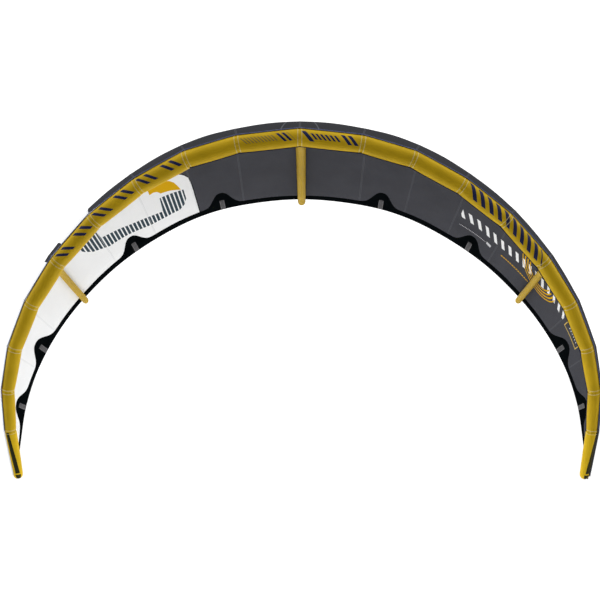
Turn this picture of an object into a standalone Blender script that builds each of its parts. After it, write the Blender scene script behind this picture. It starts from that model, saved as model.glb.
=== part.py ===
"""Leading-edge-inflatable power kite, nine square metres, three struts.

Metres, +Z up, +X along the span, the kite's front facing -Y. The origin is the
axis of the leading-edge tube at mid-span. The wing is an arch: its tips hang
down and back from the centre, and each chord runs back and a little down.
"""
import math
from collections import namedtuple

import bmesh
import bpy
from mathutils import Vector

# --- leading edge: tube panels from the centre seam to the tip, seen from the front
PANEL_LENGTHS = (0.413, 0.354, 0.370, 0.378, 0.385, 0.346, 0.334, 0.304, 0.289, 0.323)
PANEL_SLOPES_DEG = (5.9, 15.7, 27.7, 36.7, 46.8, 55.9, 65.9, 77.3, 89.4, 95.5)
PANELS = len(PANEL_LENGTHS)
HALF_ARC = sum(PANEL_LENGTHS)
SWEEP_BACK = 0.78             # how far the tip lies behind the centre
SWEEP_POWER = 1.7
TUBE_RADIUS_CENTRE = 0.0625
TUBE_RADIUS_TIP = 0.034
TUBE_TAPER_POWER = 3.0
TIP_CAP_LENGTH = 0.030

# --- wing plan and profile
CHORD_CENTRE = 1.61
CHORD_TIP = 0.44
CHORD_POWER = 2.3
PITCH_DEG = 10.8              # every chord falls this much towards the back
TOE_OUT_DEG = 1.0             # chords fan out a little, and more at the tip
TOE_OUT_TIP_DEG = 12.7
TOE_OUT_POWER = 12
CAMBER = 0.138                # crest height over chord
CAMBER_TIP = 0.046
CAMBER_POWER = 2.2
CREST = 0.28                  # crest position over chord
LEAVING_ANGLE_DEG = 32.0      # where the canopy leaves the front of the tube
TRAILING_SLOPE = 0.20
ARCH_BLEND = 0.15             # chord share over which kinks fade into a smooth arch
BAND_WIDTH = 0.070            # reinforced trailing edge

# --- shells
FABRIC = 0.003
TUBE_WALL = 0.0015
BLADDER_WALL = 0.003
BLADDER_INSET = 0.004         # bladder's outer skin under the casing's
STRUT_BLADDER_INSET = 0.007
STRUT_BLADDER_END_GAP = 0.0175
SEAM = 0.0003                 # clearance between neighbouring pieces
CANOPY_LIFT = 0.0018          # clearance between the canopy and the kinks of the tube

# --- canopy pieces, as runs between leading-edge seams
CANOPY_RUNS = ((0, 2), (2, 4), (4, 5), (5, 7), (7, 9), (9, 10))
WHITE_FROM_SEAM = 2           # on the left wing only

# --- struts: seam, front radius, rear radius
STRUTS = {"centre": (0, 0.040, 0.0285), "side": (5, 0.028, 0.0255)}
STRUT_FRONT_HEIGHT = 0.015    # strut axis above the chord line at the tube
STRUT_SETTLE = 0.38           # distance back over which it rises to the canopy
STRUT_CLEARANCE = 0.0025
STRUT_COPE_GAP = 0.003        # between the coped front and the tube
STRUT_END_SETBACK = 0.004     # rounded end behind the trailing edge

# --- battens at the trailing edge, at these span stations
BATTEN_STATIONS = (1.45, 3.5, 6.5, 8.08)
BATTEN_LENGTH = 0.180
BATTEN_HALF_WIDTH = 0.019
BATTEN_THICKNESS = 0.004
BATTEN_CLEARANCE = 0.003
BATTEN_SETBACK = 0.008        # from the trailing edge
BATTEN_STEPS = 4

# --- inflation valve on the back of the tube, beside the centre strut
VALVE_STATION = 0.36
VALVE_BORE = 0.012
VALVE_SOCKET = 0.0175
VALVE_NECK = 0.023
VALVE_FLANGE = 0.029
VALVE_RIM = 0.0225
VALVE_LUG_REACH = 0.004       # both the twist lugs and the cap's hinge ear
VALVE_TURN_CLEARANCE = 0.0006 # round the twisting body
VALVE_NECK_FOOT = -0.0018     # heights over the tube's skin
VALVE_FLANGE_FOOT = 0.0010
VALVE_FLANGE_TOP = 0.0035
VALVE_BODY_FOOT = -0.0012
VALVE_NECK_TOP = 0.009
VALVE_RIM_FOOT = 0.0095
VALVE_RIM_TOP = 0.0125
VALVE_PLUG_FOOT = 0.0065
VALVE_CAP_SEAT = 0.0129
VALVE_CAP_EDGE = 0.0158
VALVE_CAP_TOP = 0.0170
VALVE_CAP_CROWN = 0.0176
VALVE_HINGE_HEIGHT = 0.0127
VALVE_PLUG_FOOT_GAP = 0.0025  # the cap's plug in the bore
VALVE_PLUG_TOP_GAP = 0.0008
VALVE_CAP_BEVEL = 0.0015
VALVE_HOLE_CLEARANCE = 0.0008
VALVE_HOLE_DEPTH = 0.06
LUG_SHARPNESS = 24

# --- hoses that feed the struts, and webbing tabs for the lines
HOSE_RADIUS = 0.007
HOSE_OFFSET = 0.095           # along the tube, from the strut's seam
HOSE_STRUT_REACH = 0.20       # behind the tube's axis, where it enters the strut
HOSE_DIP_DEG = 20.0           # leaves the tube this far below straight back
HOSE_PULL = 0.075             # how far its bend carries straight on at each end
HOSE_DROP = 0.0057            # below the strut's axis
HOSE_TUBE_GAP = 0.001
HOSE_STRUT_GAP = 0.0015
TAB_WIDTH = 0.026
TAB_LENGTH = 0.040
TAB_THICKNESS = 0.004
TAB_DIP_DEG = 18.0
TAB_ROOT_GAP = 0.0008
TAB_TAPER_FROM = 0.8          # share of its length
TAB_END_SHARE = 0.6           # share of its width
BRIDLE_TAB_STATION = 3.5
BACK_LINE_TAB_STATION = 9.8

TUBE_SIDES = 16
BLADDER_SIDES = 10
STRUT_SIDES = 12
TURNED_SIDES = 24
HOSE_SIDES = 8
HOSE_STEPS = 9
STRUT_STEPS = 9
CHORD_STEPS = 9
CHORD_SPACING = 1.25          # over 1, the steps are shorter at the front
HALF_PANEL = 0.5              # canopy sections stand at every half panel

Section = namedtuple("Section", "le smooth te along normal back chord radius")


# ---------------------------------------------------------------- wing formulas
def lerp(a, b, f):
    return a + (b - a) * f


def catmull(points, s):
    """Smooth curve through points[1:-1]; s counts from points[1]."""
    i = min(max(int(s), 0), len(points) - 4)
    f = s - i
    p0, p1, p2, p3 = points[i:i + 4]
    return 0.5 * (2 * p1 + (p2 - p0) * f + (2 * p0 - 5 * p1 + 4 * p2 - p3) * f ** 2
                  + (3 * p1 - p0 - 3 * p2 + p3) * f ** 3)


def span_fraction(s):
    i = min(int(s), PANELS - 1)
    return (sum(PANEL_LENGTHS[:i]) + (s - i) * PANEL_LENGTHS[i]) / HALF_ARC


def seam_points():
    """Tube axis at every seam of the right half, centre first."""
    x = z = 0.0
    points = [Vector((0, 0, 0))]
    for i, (length, slope) in enumerate(zip(PANEL_LENGTHS, PANEL_SLOPES_DEG)):
        x += length * math.cos(math.radians(slope))
        z -= length * math.sin(math.radians(slope))
        y = SWEEP_BACK * span_fraction(i + 1) ** SWEEP_POWER
        points.append(Vector((x, y, z)))
    return points


def seam_tangents(points):
    panels = [(b - a).normalized() for a, b in zip(points, points[1:])]
    joints = [(a + b).normalized() for a, b in zip(panels, panels[1:])]
    return [Vector((1, 0, 0))] + joints + [panels[-1]]


def trailing_points(points):
    """Trailing-edge points behind the seams."""
    out = []
    for i, le in enumerate(points):
        f = span_fraction(i)
        length = lerp(CHORD_TIP, CHORD_CENTRE, 1 - f ** CHORD_POWER)
        toe = math.radians(0 if i == 0 else lerp(TOE_OUT_DEG, TOE_OUT_TIP_DEG, f ** TOE_OUT_POWER))
        pitch = math.radians(PITCH_DEG)
        run = Vector((math.sin(toe), math.cos(toe) * math.cos(pitch), -math.cos(toe) * math.sin(pitch)))
        out.append(le + run * length)
    return out


def mirrored_guide(points):
    """The points with a guide point past each end, for a smooth curve through them."""
    first = Vector((-points[1].x, points[1].y, points[1].z))
    return [first] + points + [2 * points[-1] - points[-2]]


SEAMS = seam_points()
SMOOTH_EDGE = mirrored_guide(SEAMS)
TANGENTS = seam_tangents(SEAMS)
TRAILING = mirrored_guide(trailing_points(SEAMS))


def section(s):
    """Frame of the wing at span station s, from 0 at the centre to PANELS at the tip."""
    i = min(int(s), PANELS - 1)
    f = s - i
    le = lerp(SEAMS[i], SEAMS[i + 1], f)
    te = catmull(TRAILING, s)
    along = lerp(TANGENTS[i], TANGENTS[i + 1], f).normalized()
    normal = along.cross(te - le).normalized()
    back = normal.cross(along)
    taper = span_fraction(s) ** TUBE_TAPER_POWER
    radius = lerp(TUBE_RADIUS_CENTRE, TUBE_RADIUS_TIP, taper)
    smooth = catmull(SMOOTH_EDGE, s) - le
    return Section(le, smooth, te, along, normal, back, (te - le).dot(back), radius)


def at(sec, w, n, a=0.0):
    """Point w behind the tube's axis, n out of the arch and a along the span."""
    return sec.le + (sec.te - sec.le) * (w / sec.chord) + sec.normal * n + sec.along * a


def hermite(w, w0, n0, m0, w1, n1, m1):
    f = (w - w0) / (w1 - w0)
    return ((2 * f ** 3 - 3 * f ** 2 + 1) * n0 + (f ** 3 - 2 * f ** 2 + f) * (w1 - w0) * m0
            + (3 * f ** 2 - 2 * f ** 3) * n1 + (f ** 3 - f ** 2) * (w1 - w0) * m1)


def canopy_start(sec):
    angle = math.radians(LEAVING_ANGLE_DEG)
    reach = sec.radius + CANOPY_LIFT + FABRIC
    return -reach * math.sin(angle), reach * math.cos(angle), math.tan(angle)


def canopy_height(sec, s, w):
    """Height of the canopy's upper skin over the chord line."""
    w0, n0, m0 = canopy_start(sec)
    crest = CREST * sec.chord
    height = lerp(CAMBER, CAMBER_TIP, span_fraction(s) ** CAMBER_POWER) * sec.chord
    if w < crest:
        return hermite(w, w0, n0, m0, crest, height, 0.0)
    return hermite(w, crest, height, 0.0, sec.chord, 0.0, -TRAILING_SLOPE)


def skin_point(s, w, depth=0.0):
    """Point on the canopy's upper skin, or depth below it.

    The skin starts on the straight tube panels and turns into a smooth arch.
    """
    sec = section(s)
    step = 0.001
    rise = (canopy_height(sec, s, w + step) - canopy_height(sec, s, w)) / step
    lean = math.atan(rise)
    n = canopy_height(sec, s, w) - depth * math.cos(lean)
    f = min(max((w - sec.radius) / (ARCH_BLEND * sec.chord), 0), 1)
    arch = sec.smooth * (f * f * (3 - 2 * f)) * max(0, 1 - w / sec.chord)
    return at(sec, w + depth * math.sin(lean), n) + arch


# ---------------------------------------------------------------- mesh helpers
def material(name, colour, roughness, metallic=0.0):
    mat = bpy.data.materials.new(name)
    mat.use_nodes = True
    shader = mat.node_tree.nodes["Principled BSDF"]
    shader.inputs["Base Color"].default_value = (*colour, 1)
    shader.inputs["Roughness"].default_value = roughness
    shader.inputs["Metallic"].default_value = metallic
    mat.diffuse_color = (*colour, 1)
    return mat


def add_object(name, verts, faces, mat, origin, side=1, sharp_deg=30):
    """One closed body; side -1 mirrors it to the left wing."""
    flip = Vector((side, 1, 1))
    place = Vector(origin) * flip
    mesh = bpy.data.meshes.new(name)
    mesh.from_pydata([Vector(v) * flip - place for v in verts], [], faces)
    body = bmesh.new()
    body.from_mesh(mesh)
    bmesh.ops.recalc_face_normals(body, faces=body.faces)
    body.to_mesh(mesh)
    body.free()
    mesh.shade_smooth()
    mesh.set_sharp_from_angle(angle=math.radians(sharp_deg))
    mesh.materials.append(mat)
    obj = bpy.data.objects.new(name, mesh)
    obj.location = place
    obj.parent = bpy.data.objects["kite"]
    bpy.context.scene.collection.objects.link(obj)
    return obj


def skin(rings, closed=False):
    """Faces through rings of equal count; a ring of one point is a pole."""
    verts, starts = [], []
    for ring in rings:
        starts.append(len(verts))
        verts.extend(ring)
    pairs = list(zip(range(len(rings)), range(1, len(rings))))
    if closed:
        pairs.append((len(rings) - 1, 0))
    faces = []
    for p, q in pairs:
        a, b = starts[p], starts[q]
        count = max(len(rings[p]), len(rings[q]))
        if count == 1:
            continue
        for k in range(count):
            m = (k + 1) % count
            if len(rings[p]) == 1:
                faces.append((a, b + m, b + k))
            elif len(rings[q]) == 1:
                faces.append((a + k, a + m, b))
            else:
                faces.append((a + k, a + m, b + m, b + k))
    return verts, faces


def slab(top, bottom):
    """Closed solid between two grids of the same shape."""
    rows, cols = len(top), len(top[0])
    verts = [v for row in top for v in row] + [v for row in bottom for v in row]
    low = rows * cols
    faces = []
    for i in range(rows - 1):
        for k in range(cols - 1):
            a, b = i * cols + k, (i + 1) * cols + k
            faces.append((a, a + 1, b + 1, b))
            faces.append((low + a, low + b, low + b + 1, low + a + 1))
    rim = list(range(cols)) + [i * cols + cols - 1 for i in range(1, rows)]
    rim += [(rows - 1) * cols + k for k in range(cols - 2, -1, -1)]
    rim += [i * cols for i in range(rows - 2, 0, -1)]
    for a, b in zip(rim, rim[1:] + rim[:1]):
        faces.append((a, low + a, low + b, b))
    return verts, faces


def steps(start, end, count):
    return [lerp(start, end, i / count) for i in range(count + 1)]


# ---------------------------------------------------------------- leading edge
def tube_ring(s, radius, sides, past_end=0.0):
    sec = section(s)
    ring = []
    for k in range(sides):
        angle = 2 * math.pi * k / sides
        offset = sec.normal * math.cos(angle) + sec.back * math.sin(angle)
        ring.append(sec.le + sec.along * past_end + offset * radius)
    return ring


def end_cap(radius, inset):
    """Rings and pole that round off the tube past the last seam."""
    rings = []
    for angle in (30, 60):
        shrink = math.cos(math.radians(angle))
        ahead = (TIP_CAP_LENGTH - inset) * math.sin(math.radians(angle))
        rings.append(tube_ring(PANELS, radius * shrink, TUBE_SIDES, ahead))
    sec = section(PANELS)
    rings.append([sec.le + sec.along * (TIP_CAP_LENGTH - inset)])
    return rings


def leading_edge_panel(index, side, mat):
    margin = SEAM / 2 / PANEL_LENGTHS[index]
    first = index + margin
    last = index + 1 - margin if index < PANELS - 1 else PANELS
    ends = (first, last)
    outer = [tube_ring(s, section(s).radius, TUBE_SIDES) for s in ends]
    inner = [tube_ring(s, section(s).radius - TUBE_WALL, TUBE_SIDES) for s in reversed(ends)]
    if index == PANELS - 1:
        outer += end_cap(section(PANELS).radius, 0.0)
        inner = end_cap(section(PANELS).radius - TUBE_WALL, TUBE_WALL)[::-1] + inner
    verts, faces = skin(outer + inner, closed=True)
    name = f"leading_edge_{side_name(side)}_{index + 1}"
    return add_object(name, verts, faces, mat, section(first).le, side)


def leading_edge_bladder(mat):
    right = [float(i) for i in range(PANELS + 1)]
    outer, inner = [], []
    for side, stations in ((-1, right[:0:-1]), (1, right)):
        flip = Vector((side, 1, 1))
        for s in stations:
            radius = section(s).radius - BLADDER_INSET
            outer.append([v * flip for v in tube_ring(s, radius, BLADDER_SIDES)])
            inner.append([v * flip for v in tube_ring(s, radius - BLADDER_WALL, BLADDER_SIDES)])
    verts, faces = skin(outer + inner[::-1], closed=True)
    add_object("leading_edge_bladder", verts, faces, mat, (0, 0, 0))


# ---------------------------------------------------------------- canopy
def canopy_panel(number, run, side, mat):
    margin = SEAM / 2 / PANEL_LENGTHS[0]
    first, last = run[0] + margin, run[1] - margin
    stations = [first] + steps(run[0], run[1], round((run[1] - run[0]) / HALF_PANEL))[1:-1] + [last]
    top, bottom = [], []
    for s in stations:
        sec = section(s)
        front = canopy_start(sec)[0]
        rear = sec.chord - BAND_WIDTH - SEAM
        ws = [lerp(front, rear, (k / CHORD_STEPS) ** CHORD_SPACING) for k in range(CHORD_STEPS + 1)]
        top.append([skin_point(s, w) for w in ws])
        bottom.append([skin_point(s, w, FABRIC) for w in ws])
    verts, faces = slab(top, bottom)
    name = f"canopy_{side_name(side)}_{number}"
    add_object(name, verts, faces, mat, section(first).le, side)


def trailing_edge(side, mat):
    margin = SEAM / 2 / PANEL_LENGTHS[0]
    stations = [margin] + steps(0, PANELS, round(PANELS / HALF_PANEL))[1:]
    top, bottom = [], []
    for s in stations:
        chord = section(s).chord
        ws = (chord - BAND_WIDTH, chord)
        top.append([skin_point(s, w) for w in ws])
        bottom.append([skin_point(s, w, FABRIC) for w in ws])
    verts, faces = slab(top, bottom)
    add_object(f"trailing_edge_{side_name(side)}", verts, faces, mat, section(0).te, side)


def batten(number, middle, side, mat):
    """Flat stiffener under the trailing edge, following its curve."""
    half = BATTEN_HALF_WIDTH / PANEL_LENGTHS[int(middle)]
    over = FABRIC + BATTEN_CLEARANCE
    top, bottom = [], []
    for s in (middle - half, middle, middle + half):
        chord = section(s).chord
        ws = steps(chord - BATTEN_LENGTH, chord - BATTEN_SETBACK, BATTEN_STEPS)
        top.append([skin_point(s, w, over) for w in ws])
        bottom.append([skin_point(s, w, over + BATTEN_THICKNESS) for w in ws])
    verts, faces = slab(top, bottom)
    add_object(f"batten_{side_name(side)}_{number}", verts, faces, mat, section(middle).te, side)


# ---------------------------------------------------------------- struts
def strut_axis_height(sec, s, w, radius):
    """Height of a strut's axis: low at the tube, then close under the canopy."""
    start = sec.radius
    under = canopy_height(sec, s, w) - FABRIC - STRUT_CLEARANCE - radius
    f = min(max((w - start) / STRUT_SETTLE, 0), 1)
    at_tube = canopy_height(sec, s, start) - FABRIC - STRUT_CLEARANCE - radius
    return under - (at_tube - STRUT_FRONT_HEIGHT) * (1 - f) ** 2


def strut_tube(name, key, side, mat, inset=0.0, end_gap=0.0, wall=TUBE_WALL, sides=STRUT_SIDES):
    """Hollow tapered tube, coped round the leading edge and closed at the back."""
    s, front_radius, rear_radius = STRUTS[key]
    sec = section(s)
    reach = sec.chord - rear_radius - STRUT_END_SETBACK - end_gap
    cope = sec.radius + STRUT_COPE_GAP + end_gap
    ws = steps(cope, reach, STRUT_STEPS)

    def ring(w, shrink, ahead=0.0, thickness=0.0):
        full = lerp(front_radius, rear_radius, (w - sec.radius) / (sec.chord - sec.radius))
        radius = (full - inset - thickness) * shrink
        height = strut_axis_height(sec, s, w, full)
        lean = math.atan((strut_axis_height(sec, s, w + 0.002, full) - height) / 0.002)
        points = []
        for k in range(sides):
            angle = 2 * math.pi * k / sides
            up, across = radius * math.cos(angle), radius * math.sin(angle)
            back = w + ahead * math.cos(lean) - up * math.sin(lean)
            rise = height + ahead * math.sin(lean) + up * math.cos(lean)
            if w == ws[0]:
                back = math.sqrt(cope ** 2 - min(abs(height + up), cope - 0.001) ** 2)
                rise = height + up
            points.append(at(sec, back, rise, across))
        return points

    def nose(thickness):
        rings = []
        for angle in (35, 65):
            a = math.radians(angle)
            ahead = (rear_radius - inset - thickness) * math.sin(a)
            rings.append(ring(ws[-1], math.cos(a), ahead, thickness))
        pole = ring(ws[-1], 0.0, rear_radius - inset - thickness, thickness)[0]
        return rings + [[pole]]

    outer = [ring(w, 1.0) for w in ws] + nose(0.0)
    inner = [ring(w, 1.0, 0.0, wall) for w in ws] + nose(wall)
    verts, faces = skin(outer + inner[::-1], closed=True)
    add_object(name, verts, faces, mat, sec.le, side)


def dipped(sec, degrees):
    """Direction straight out of the back of the tube, turned down towards the arch's inside."""
    dip = math.radians(degrees)
    return sec.back * math.cos(dip) - sec.normal * math.sin(dip)


def airlink_hose(name, key, side, mat):
    """Bent hose from the back of the tube to the flank of a strut."""
    s, front_radius, _ = STRUTS[key]
    sec = section(s)
    beside = section(s + HOSE_OFFSET / PANEL_LENGTHS[s])
    outward = dipped(beside, HOSE_DIP_DEG)
    tube_end = beside.le + outward * (beside.radius + HOSE_TUBE_GAP)
    height = strut_axis_height(sec, s, HOSE_STRUT_REACH, front_radius) - HOSE_DROP
    strut_end = at(sec, HOSE_STRUT_REACH, height, front_radius + HOSE_STRUT_GAP)
    p0, p1 = tube_end, tube_end + outward * HOSE_PULL
    p2, p3 = strut_end + sec.along * HOSE_PULL, strut_end
    path = []
    for f in steps(0, 1, HOSE_STEPS):
        g = 1 - f
        path.append(p0 * g ** 3 + p1 * 3 * g * g * f + p2 * 3 * g * f * f + p3 * f ** 3)
    rings = []
    for i, point in enumerate(path):
        run = (path[min(i + 1, len(path) - 1)] - path[max(i - 1, 0)]).normalized()
        u = run.cross(sec.normal).normalized()
        v = run.cross(u)
        spokes = [2 * math.pi * k / HOSE_SIDES for k in range(HOSE_SIDES)]
        rings.append([point + (u * math.cos(a) + v * math.sin(a)) * HOSE_RADIUS for a in spokes])
    verts, faces = skin([[path[0]]] + rings + [[path[-1]]])
    add_object(name, verts, faces, mat, tube_end, side)


# ---------------------------------------------------------------- fittings
def line_tab(name, s, side, mat):
    """Webbing tab on the back of the tube, where a line is tied."""
    sec = section(s)
    outward = dipped(sec, TAB_DIP_DEG)
    flat = sec.along.cross(outward).normalized() * (TAB_THICKNESS / 2)
    middle = []
    for share, width in ((0.0, 1.0), (TAB_TAPER_FROM, 1.0), (1.0, TAB_END_SHARE)):
        point = sec.le + outward * (sec.radius + TAB_ROOT_GAP + TAB_LENGTH * share)
        half = sec.along * (TAB_WIDTH / 2 * width)
        middle.append([point - half, point + half])
    top = [[point + flat for point in row] for row in middle]
    bottom = [[point - flat for point in row] for row in middle]
    verts, faces = slab(top, bottom)
    add_object(name, verts, faces, mat, sec.le, side)


def turned(profile, lug_angles=(), lug_from=None):
    """Rings round +Z from (radius, height) pairs; lugs widen the outermost ones."""
    rings = []
    for radius, height in profile:
        ring = []
        for k in range(TURNED_SIDES):
            angle = 2 * math.pi * k / TURNED_SIDES
            reach = radius
            if lug_from is not None and radius >= lug_from:
                for lug in lug_angles:
                    reach += VALVE_LUG_REACH * max(0.0, math.cos(angle - lug)) ** LUG_SHARPNESS
            ring.append(Vector((reach * math.cos(angle), reach * math.sin(angle), height)))
        rings.append(ring)
    return rings


def valve(materials):
    """Neck that stands through the casing, twist-lock body in it, and cap."""
    sec = section(VALVE_STATION)
    axis, lower = sec.back, -sec.normal
    skin_top = sec.le + axis * sec.radius

    def place(ring, foot):
        return [foot + lower * v.x + sec.along * v.y + axis * v.z for v in ring]

    neck = [(VALVE_SOCKET, VALVE_NECK_FOOT), (VALVE_NECK, VALVE_NECK_FOOT),
            (VALVE_NECK, VALVE_FLANGE_FOOT), (VALVE_FLANGE, VALVE_FLANGE_FOOT),
            (VALVE_FLANGE, VALVE_FLANGE_TOP), (VALVE_NECK, VALVE_FLANGE_TOP),
            (VALVE_NECK, VALVE_NECK_TOP), (VALVE_SOCKET, VALVE_NECK_TOP)]
    rings = [place(r, skin_top) for r in turned(neck)]
    add_object("valve_neck", *skin(rings, closed=True), materials["valve"], skin_top)

    insert = VALVE_SOCKET - VALVE_TURN_CLEARANCE
    twist = [(VALVE_BORE, VALVE_BODY_FOOT), (insert, VALVE_BODY_FOOT), (insert, VALVE_RIM_FOOT),
             (VALVE_RIM, VALVE_RIM_FOOT), (VALVE_RIM, VALVE_RIM_TOP), (VALVE_BORE, VALVE_RIM_TOP)]
    lugs = (math.pi / 2, -math.pi / 2, 0.0)
    rings = [place(r, skin_top) for r in turned(twist, lugs, VALVE_RIM)]
    add_object("valve_body", *skin(rings, closed=True), materials["valve"], skin_top)

    plug = [(VALVE_BORE - VALVE_PLUG_FOOT_GAP, VALVE_PLUG_FOOT),
            (VALVE_BORE - VALVE_PLUG_TOP_GAP, VALVE_CAP_SEAT), (VALVE_RIM, VALVE_CAP_SEAT),
            (VALVE_RIM, VALVE_CAP_EDGE), (VALVE_RIM - VALVE_CAP_BEVEL, VALVE_CAP_TOP)]
    rings = [place(r, skin_top) for r in turned(plug, (0.0,), VALVE_RIM)]
    floor = [skin_top + axis * VALVE_PLUG_FOOT]
    crown = [skin_top + axis * VALVE_CAP_CROWN]
    hinge = skin_top + lower * (VALVE_RIM + VALVE_LUG_REACH) + axis * VALVE_HINGE_HEIGHT
    add_object("valve_cap", *skin([floor] + rings + [crown]), materials["cap"], hinge)


def valve_hole(panel):
    """Opening in the casing for the valve's neck."""
    sec = section(VALVE_STATION)
    bpy.ops.mesh.primitive_cylinder_add(
        vertices=TURNED_SIDES, radius=VALVE_NECK + VALVE_HOLE_CLEARANCE, depth=VALVE_HOLE_DEPTH)
    cutter = bpy.context.object
    cutter.name = "valve_hole_cutter"
    cutter.rotation_mode = "QUATERNION"
    cutter.rotation_quaternion = sec.back.to_track_quat("Z", "Y")
    cutter.location = sec.le + sec.back * sec.radius
    cutter.hide_render = True
    cutter.display_type = "WIRE"
    cut = panel.modifiers.new("valve_hole", "BOOLEAN")
    cut.operation = "DIFFERENCE"
    cut.object = cutter
    cut.solver = "EXACT"


# ---------------------------------------------------------------- assembly
def side_name(side):
    return "right" if side > 0 else "left"


def main():
    for obj in list(bpy.data.objects):
        bpy.data.objects.remove(obj)
    root = bpy.data.objects.new("kite", None)
    bpy.context.scene.collection.objects.link(root)

    materials = {
        "casing": material("gold_casing", (0.50, 0.30, 0.03), 0.55),
        "charcoal": material("charcoal_ripstop", (0.052, 0.055, 0.065), 0.60),
        "white": material("white_ripstop", (0.85, 0.85, 0.85), 0.55),
        "band": material("black_trailing_edge", (0.010, 0.012, 0.013), 0.65),
        "batten": material("grey_batten", (0.13, 0.12, 0.14), 0.50),
        "bladder": material("bladder_film", (0.75, 0.78, 0.80), 0.25),
        "valve": material("valve_plastic", (0.03, 0.03, 0.035), 0.40),
        "cap": material("cap_plastic", (0.50, 0.30, 0.03), 0.40),
        "hose": material("hose_rubber", (0.04, 0.04, 0.045), 0.50),
        "webbing": material("black_webbing", (0.02, 0.02, 0.022), 0.80),
    }

    for side in (-1, 1):
        word = side_name(side)
        for index in range(PANELS):
            panel = leading_edge_panel(index, side, materials["casing"])
            if side > 0 and index == 0:
                valve_hole(panel)
        for number, run in enumerate(CANOPY_RUNS, 1):
            white = side < 0 and run[0] >= WHITE_FROM_SEAM
            canopy_panel(number, run, side, materials["white" if white else "charcoal"])
        trailing_edge(side, materials["band"])
        for number, station in enumerate(BATTEN_STATIONS, 1):
            batten(number, station, side, materials["batten"])
        line_tab(f"bridle_tab_{word}", BRIDLE_TAB_STATION, side, materials["webbing"])
        line_tab(f"back_line_tab_{word}", BACK_LINE_TAB_STATION, side, materials["webbing"])

    leading_edge_bladder(materials["bladder"])
    for word, key, side in (("centre", "centre", 1), ("left", "side", -1), ("right", "side", 1)):
        strut_tube(f"strut_{word}", key, side, materials["casing"])
        strut_tube(f"strut_bladder_{word}", key, side, materials["bladder"],
                   STRUT_BLADDER_INSET, STRUT_BLADDER_END_GAP, BLADDER_WALL, BLADDER_SIDES)
        airlink_hose(f"airlink_hose_{word}", key, side if word != "centre" else -1, materials["hose"])
    valve(materials)


main()
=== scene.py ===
"""Looks of the inflatable kite: fine cloth, casings, fittings, materials, studio light and camera.

Frame: metres, +Z up, the leading edge's middle at the origin, the kite facing -Y, its tips down.
Stations count the leading-edge seams from 0 at the centre to 10 at the tip; on the canopy they are
negative on the left. w is the distance behind the leading-edge tube's axis.
"""
import math
from collections import namedtuple
from functools import lru_cache, reduce

import bmesh
import bpy
import numpy as np
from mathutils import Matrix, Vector

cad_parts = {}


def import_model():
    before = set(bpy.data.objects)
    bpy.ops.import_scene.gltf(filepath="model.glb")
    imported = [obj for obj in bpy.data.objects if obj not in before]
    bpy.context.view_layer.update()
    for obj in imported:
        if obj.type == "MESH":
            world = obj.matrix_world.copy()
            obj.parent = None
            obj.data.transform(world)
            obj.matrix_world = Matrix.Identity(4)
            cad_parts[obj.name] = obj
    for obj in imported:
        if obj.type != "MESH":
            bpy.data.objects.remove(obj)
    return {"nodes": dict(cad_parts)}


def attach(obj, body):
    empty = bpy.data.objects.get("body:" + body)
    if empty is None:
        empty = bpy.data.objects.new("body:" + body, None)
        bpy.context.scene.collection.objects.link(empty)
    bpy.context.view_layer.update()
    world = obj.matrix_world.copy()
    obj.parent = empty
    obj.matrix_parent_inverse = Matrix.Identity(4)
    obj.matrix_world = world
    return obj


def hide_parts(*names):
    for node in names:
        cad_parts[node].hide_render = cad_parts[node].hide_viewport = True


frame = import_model()
scene = bpy.context.scene
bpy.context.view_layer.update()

# --- the wing, as in the CAD model
PANEL_LENGTHS = (0.413, 0.354, 0.37, 0.378, 0.385, 0.346, 0.334, 0.304, 0.289, 0.323)
PANEL_SLOPES_DEG = (5.9, 15.7, 27.7, 36.7, 46.8, 55.9, 65.9, 77.3, 89.4, 95.5)
PANELS = len(PANEL_LENGTHS)
HALF_ARC = sum(PANEL_LENGTHS)
SWEEP_BACK = 0.78
SWEEP_POWER = 1.7
TUBE_RADIUS_CENTRE = 0.0625
TUBE_RADIUS_TIP = 0.034
TUBE_TAPER_POWER = 3.0
TIP_CAP_LENGTH = 0.03
CHORD_CENTRE = 1.61
CHORD_TIP = 0.44
CHORD_POWER = 2.3
PITCH_DEG = 10.8
TOE_OUT_DEG = 1.0
TOE_OUT_TIP_DEG = 12.7
TOE_OUT_POWER = 12
CAMBER = 0.138
CAMBER_TIP = 0.046
CAMBER_POWER = 2.2
CREST = 0.28
LEAVING_ANGLE_DEG = 32.0
TRAILING_SLOPE = 0.2
ARCH_BLEND = 0.15
FABRIC = 0.003
CANOPY_LIFT = 0.0018
STRUTS = {"centre": (0, 0.04, 0.0285), "left": (5, 0.028, 0.0255), "right": (5, 0.028, 0.0255)}
STRUT_FRONT_HEIGHT = 0.015
STRUT_SETTLE = 0.38
STRUT_CLEARANCE = 0.0025
STRUT_COPE_GAP = 0.003
STRUT_END_SETBACK = 0.004
BATTEN_STATIONS = (1.45, 3.5, 6.5, 8.08)
VALVE_STATION = 0.36
HOSE_OFFSET = 0.095
HOSE_STRUT_REACH = 0.2
HOSE_DIP_DEG = 20.0
HOSE_PULL = 0.075
HOSE_DROP = 0.0057
HOSE_TUBE_GAP = 0.001
HOSE_STRUT_GAP = 0.0015
TAB_DIP_DEG = 18.0
TAB_ROOT_GAP = 0.0008
TAB_STATIONS = {"bridle_tab": 3.5, "back_line_tab": 9.8}

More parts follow.
